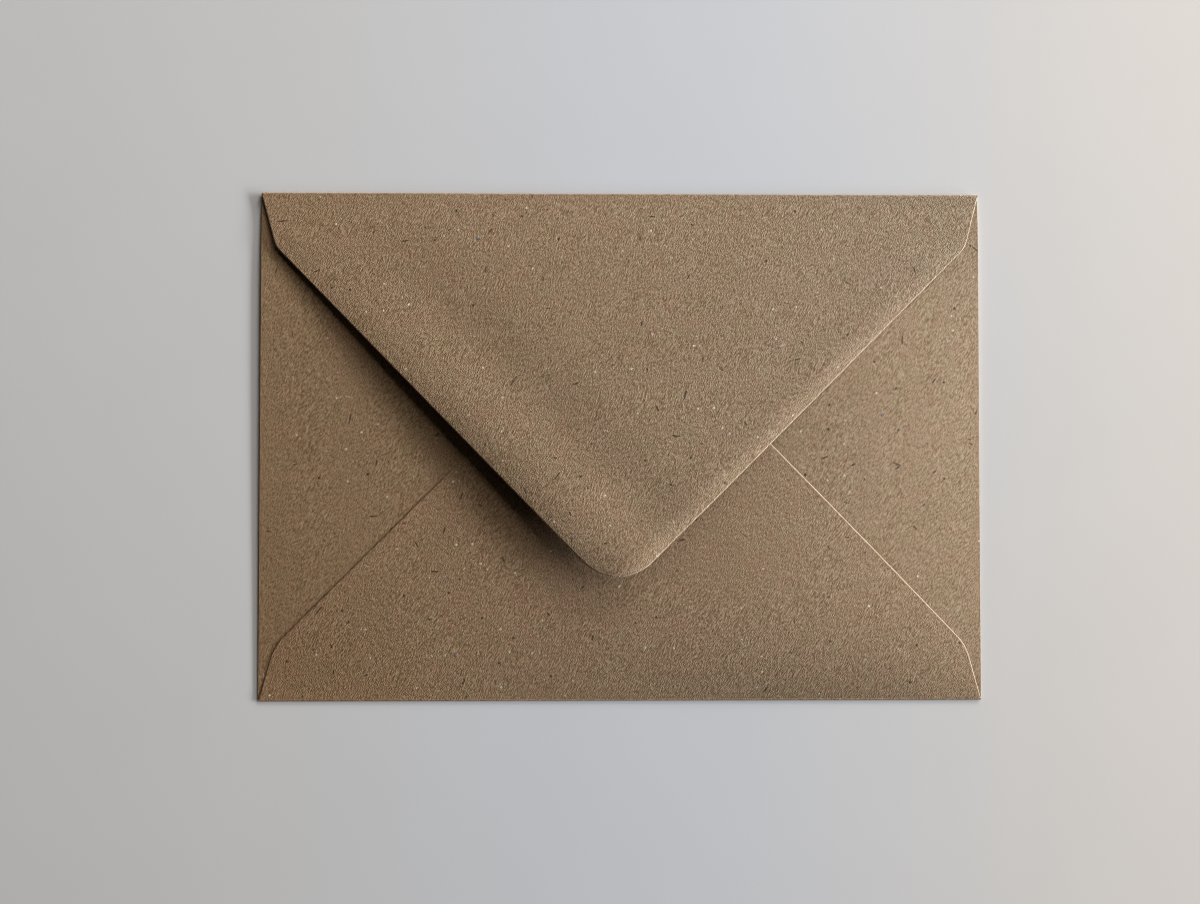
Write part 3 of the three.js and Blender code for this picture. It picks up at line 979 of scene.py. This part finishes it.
def add_bottom_flap(material):
    ends = [panel_corner(-1, PANEL_BOTTOM), panel_corner(1, PANEL_BOTTOM)]
    shoulders = [bottom_shoulder(-1), bottom_shoulder(1)]
    outline = flap_outline(ends, shoulders, BOTTOM_POINT, BOTTOM_TIP_RADIUS)
    bottom = sheet_piece("bottom_sheet", outline, BODY_STEP, bottom_underside, PAPER, material)
    placed(bottom, "pocket", "kraft_outside", "bottom_flap")


def add_top_flap(material):
    ends = [panel_corner(-1, PANEL_TOP), panel_corner(1, PANEL_TOP)]
    shoulders = [top_shoulder(-1), top_shoulder(1)]
    outline = flap_outline(ends, shoulders, TOP_POINT, TOP_TIP_RADIUS, TOP_SHOULDER_RADIUS)
    top = sheet_piece("top_sheet", outline, FLAP_STEP, top_underside, PAPER, material)
    placed(top, "flap", "kraft_outside", "top_flap")


def add_side_fold(side, word, material):
    def height_at(y):
        return SIDE_FOLD_HEIGHT + float(back_rise(np.array(side * PANEL_RIGHT), np.array(y)))

    def to_place(out, y):
        return side * (HALF_WIDTH - out), y

    stations = np.linspace(PANEL_BOTTOM, PANEL_TOP, SIDE_FOLD_STATIONS)[::-side]
    fold = fold_piece(f"{word}_fold_sheet", stations, SIDE_FOLD_REACH, height_at, to_place, material)
    placed(fold, "pocket", "kraft_fold", f"{word}_side_fold")


def long_fold(name, end, reach, fold_height, material):
    """The fold along the bottom, where end is -1, or along the top, where it is 1."""

    def height_at(x):
        return fold_height

    def to_place(out, x):
        return x, end * (HALF_HEIGHT - out)

    stations = np.linspace(-PANEL_RIGHT, PANEL_RIGHT, LONG_FOLD_STATIONS)[::end]
    return fold_piece(name, stations, reach, height_at, to_place, material)


def add_bottom_fold(material):
    fold = long_fold("bottom_fold_sheet", -1, BOTTOM_FOLD_REACH, BOTTOM_FOLD_HEIGHT, material)
    placed(fold, "pocket", "kraft_fold", "bottom_fold")


def add_top_crease(material):
    """The living hinge between the front panel and the top flap, drawn fixed as it lies at rest."""
    crease = long_fold("top_crease_sheet", 1, TOP_FOLD_REACH, TOP_FOLD_HEIGHT, material)
    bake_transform(crease)
    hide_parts("top_fold")


def add_seam(side, word, material):
    """A band of glue under the bottom flap's cut edge, over the side flap's."""
    low_edge = (bottom_shoulder(side), BOTTOM_POINT)
    high_edge = (side_shoulder(side, -1), side_point(side))
    corners = [
        (beside_line(*low_edge, SEAM_START, side * SEAM_MARGIN), 0, True),
        (beside_line(*high_edge, SEAM_START, -side * SEAM_MARGIN), 0, True),
        (beside_line(*high_edge, SEAM_END, -side * SEAM_MARGIN), 0, True),
        (beside_line(*low_edge, SEAM_END, side * SEAM_MARGIN), 0, True),
    ]
    name = f"{word}_seam_film"
    outline = rounded_outline(corners)
    seam = sheet_piece(name, outline, BODY_STEP, seam_underside, SEAM_FILM, material, rounding=0, rings=())
    placed(seam, "pocket", "seam_glue", f"{word}_seam_glue")


def add_gum_band(material):
    """The band of gum on the top flap's underside, along its two cut edges and round its tip."""
    to_left = unit(top_shoulder(-1) - TOP_POINT)
    to_right = unit(top_shoulder(1) - TOP_POINT)
    half_angle = math.acos(to_left @ to_right) / 2
    tip_axis = unit(to_left + to_right)
    inner_inset = GUM_INSET + GUM_WIDTH
    corners = [
        (beside_line(top_shoulder(-1), TOP_POINT, GUM_START, inner_inset), 0, True),
        (beside_line(top_shoulder(-1), TOP_POINT, GUM_START, GUM_INSET), 0, True),
        (TOP_POINT + tip_axis * GUM_INSET / math.sin(half_angle), TOP_TIP_RADIUS - GUM_INSET, True),
        (beside_line(top_shoulder(1), TOP_POINT, GUM_START, -GUM_INSET), 0, True),
        (beside_line(top_shoulder(1), TOP_POINT, GUM_START, -inner_inset), 0, True),
        (TOP_POINT + tip_axis * inner_inset / math.sin(half_angle), 0, True),
    ]
    outline = rounded_outline(corners)
    band = sheet_piece(
        "gum_film", outline, FLAP_STEP, gum_underside, GUM_FILM, material, rounding=0, rings=()
    )
    placed(band, "flap", "flap_gum", "flap_gum")


add_camera()
for light in LIGHTS:
    add_light(*light)
add_world()
bpy.context.scene.view_settings.view_transform = "Standard"

# A crisp lens, so that the paper's grain stays sharp
bpy.context.scene.cycles.filter_width = 1.0

add_table()

# One kraft in lighter, darker and slightly tinted copies: each part's tone and hue are painted light and
# shade for how that part is lit
kraft_pocket = kraft_material("kraft_pocket", 1, hue=(0.985, 1, 1.0, 1), tone=0.945, relief=0.4)
kraft_front = kraft_material("kraft_front", 2)
kraft_flap = kraft_material(
    "kraft_flap", 3, hue=(0.97, 1, 1.045, 1), tone=0.965, left_edge=PLAIN_EDGE_COLOUR
)
kraft_bottom = kraft_material("kraft_bottom", 4, hue=(1.005, 1, 1.005, 1), tone=0.955, relief=0.7)
kraft_bend = kraft_material("kraft_bend", 5, tone=1.04)
glue = film_material("seam_glue_film", (0.62, 0.55, 0.44, 1), roughness=0.45, coat=0.1)
gum = film_material("flap_gum_film", (0.42, 0.32, 0.2, 1), roughness=0.3, coat=0.5)

add_front_panel(kraft_front)
for side, word in SIDES:
    add_side_flap(side, word, kraft_pocket)
add_bottom_flap(kraft_bottom)
add_top_flap(kraft_flap)
for side, word in SIDES:
    add_side_fold(side, word, kraft_bend)
add_bottom_fold(kraft_bend)
add_top_crease(kraft_bend)
for side, word in SIDES:
    add_seam(side, word, glue)
add_gum_band(gum)
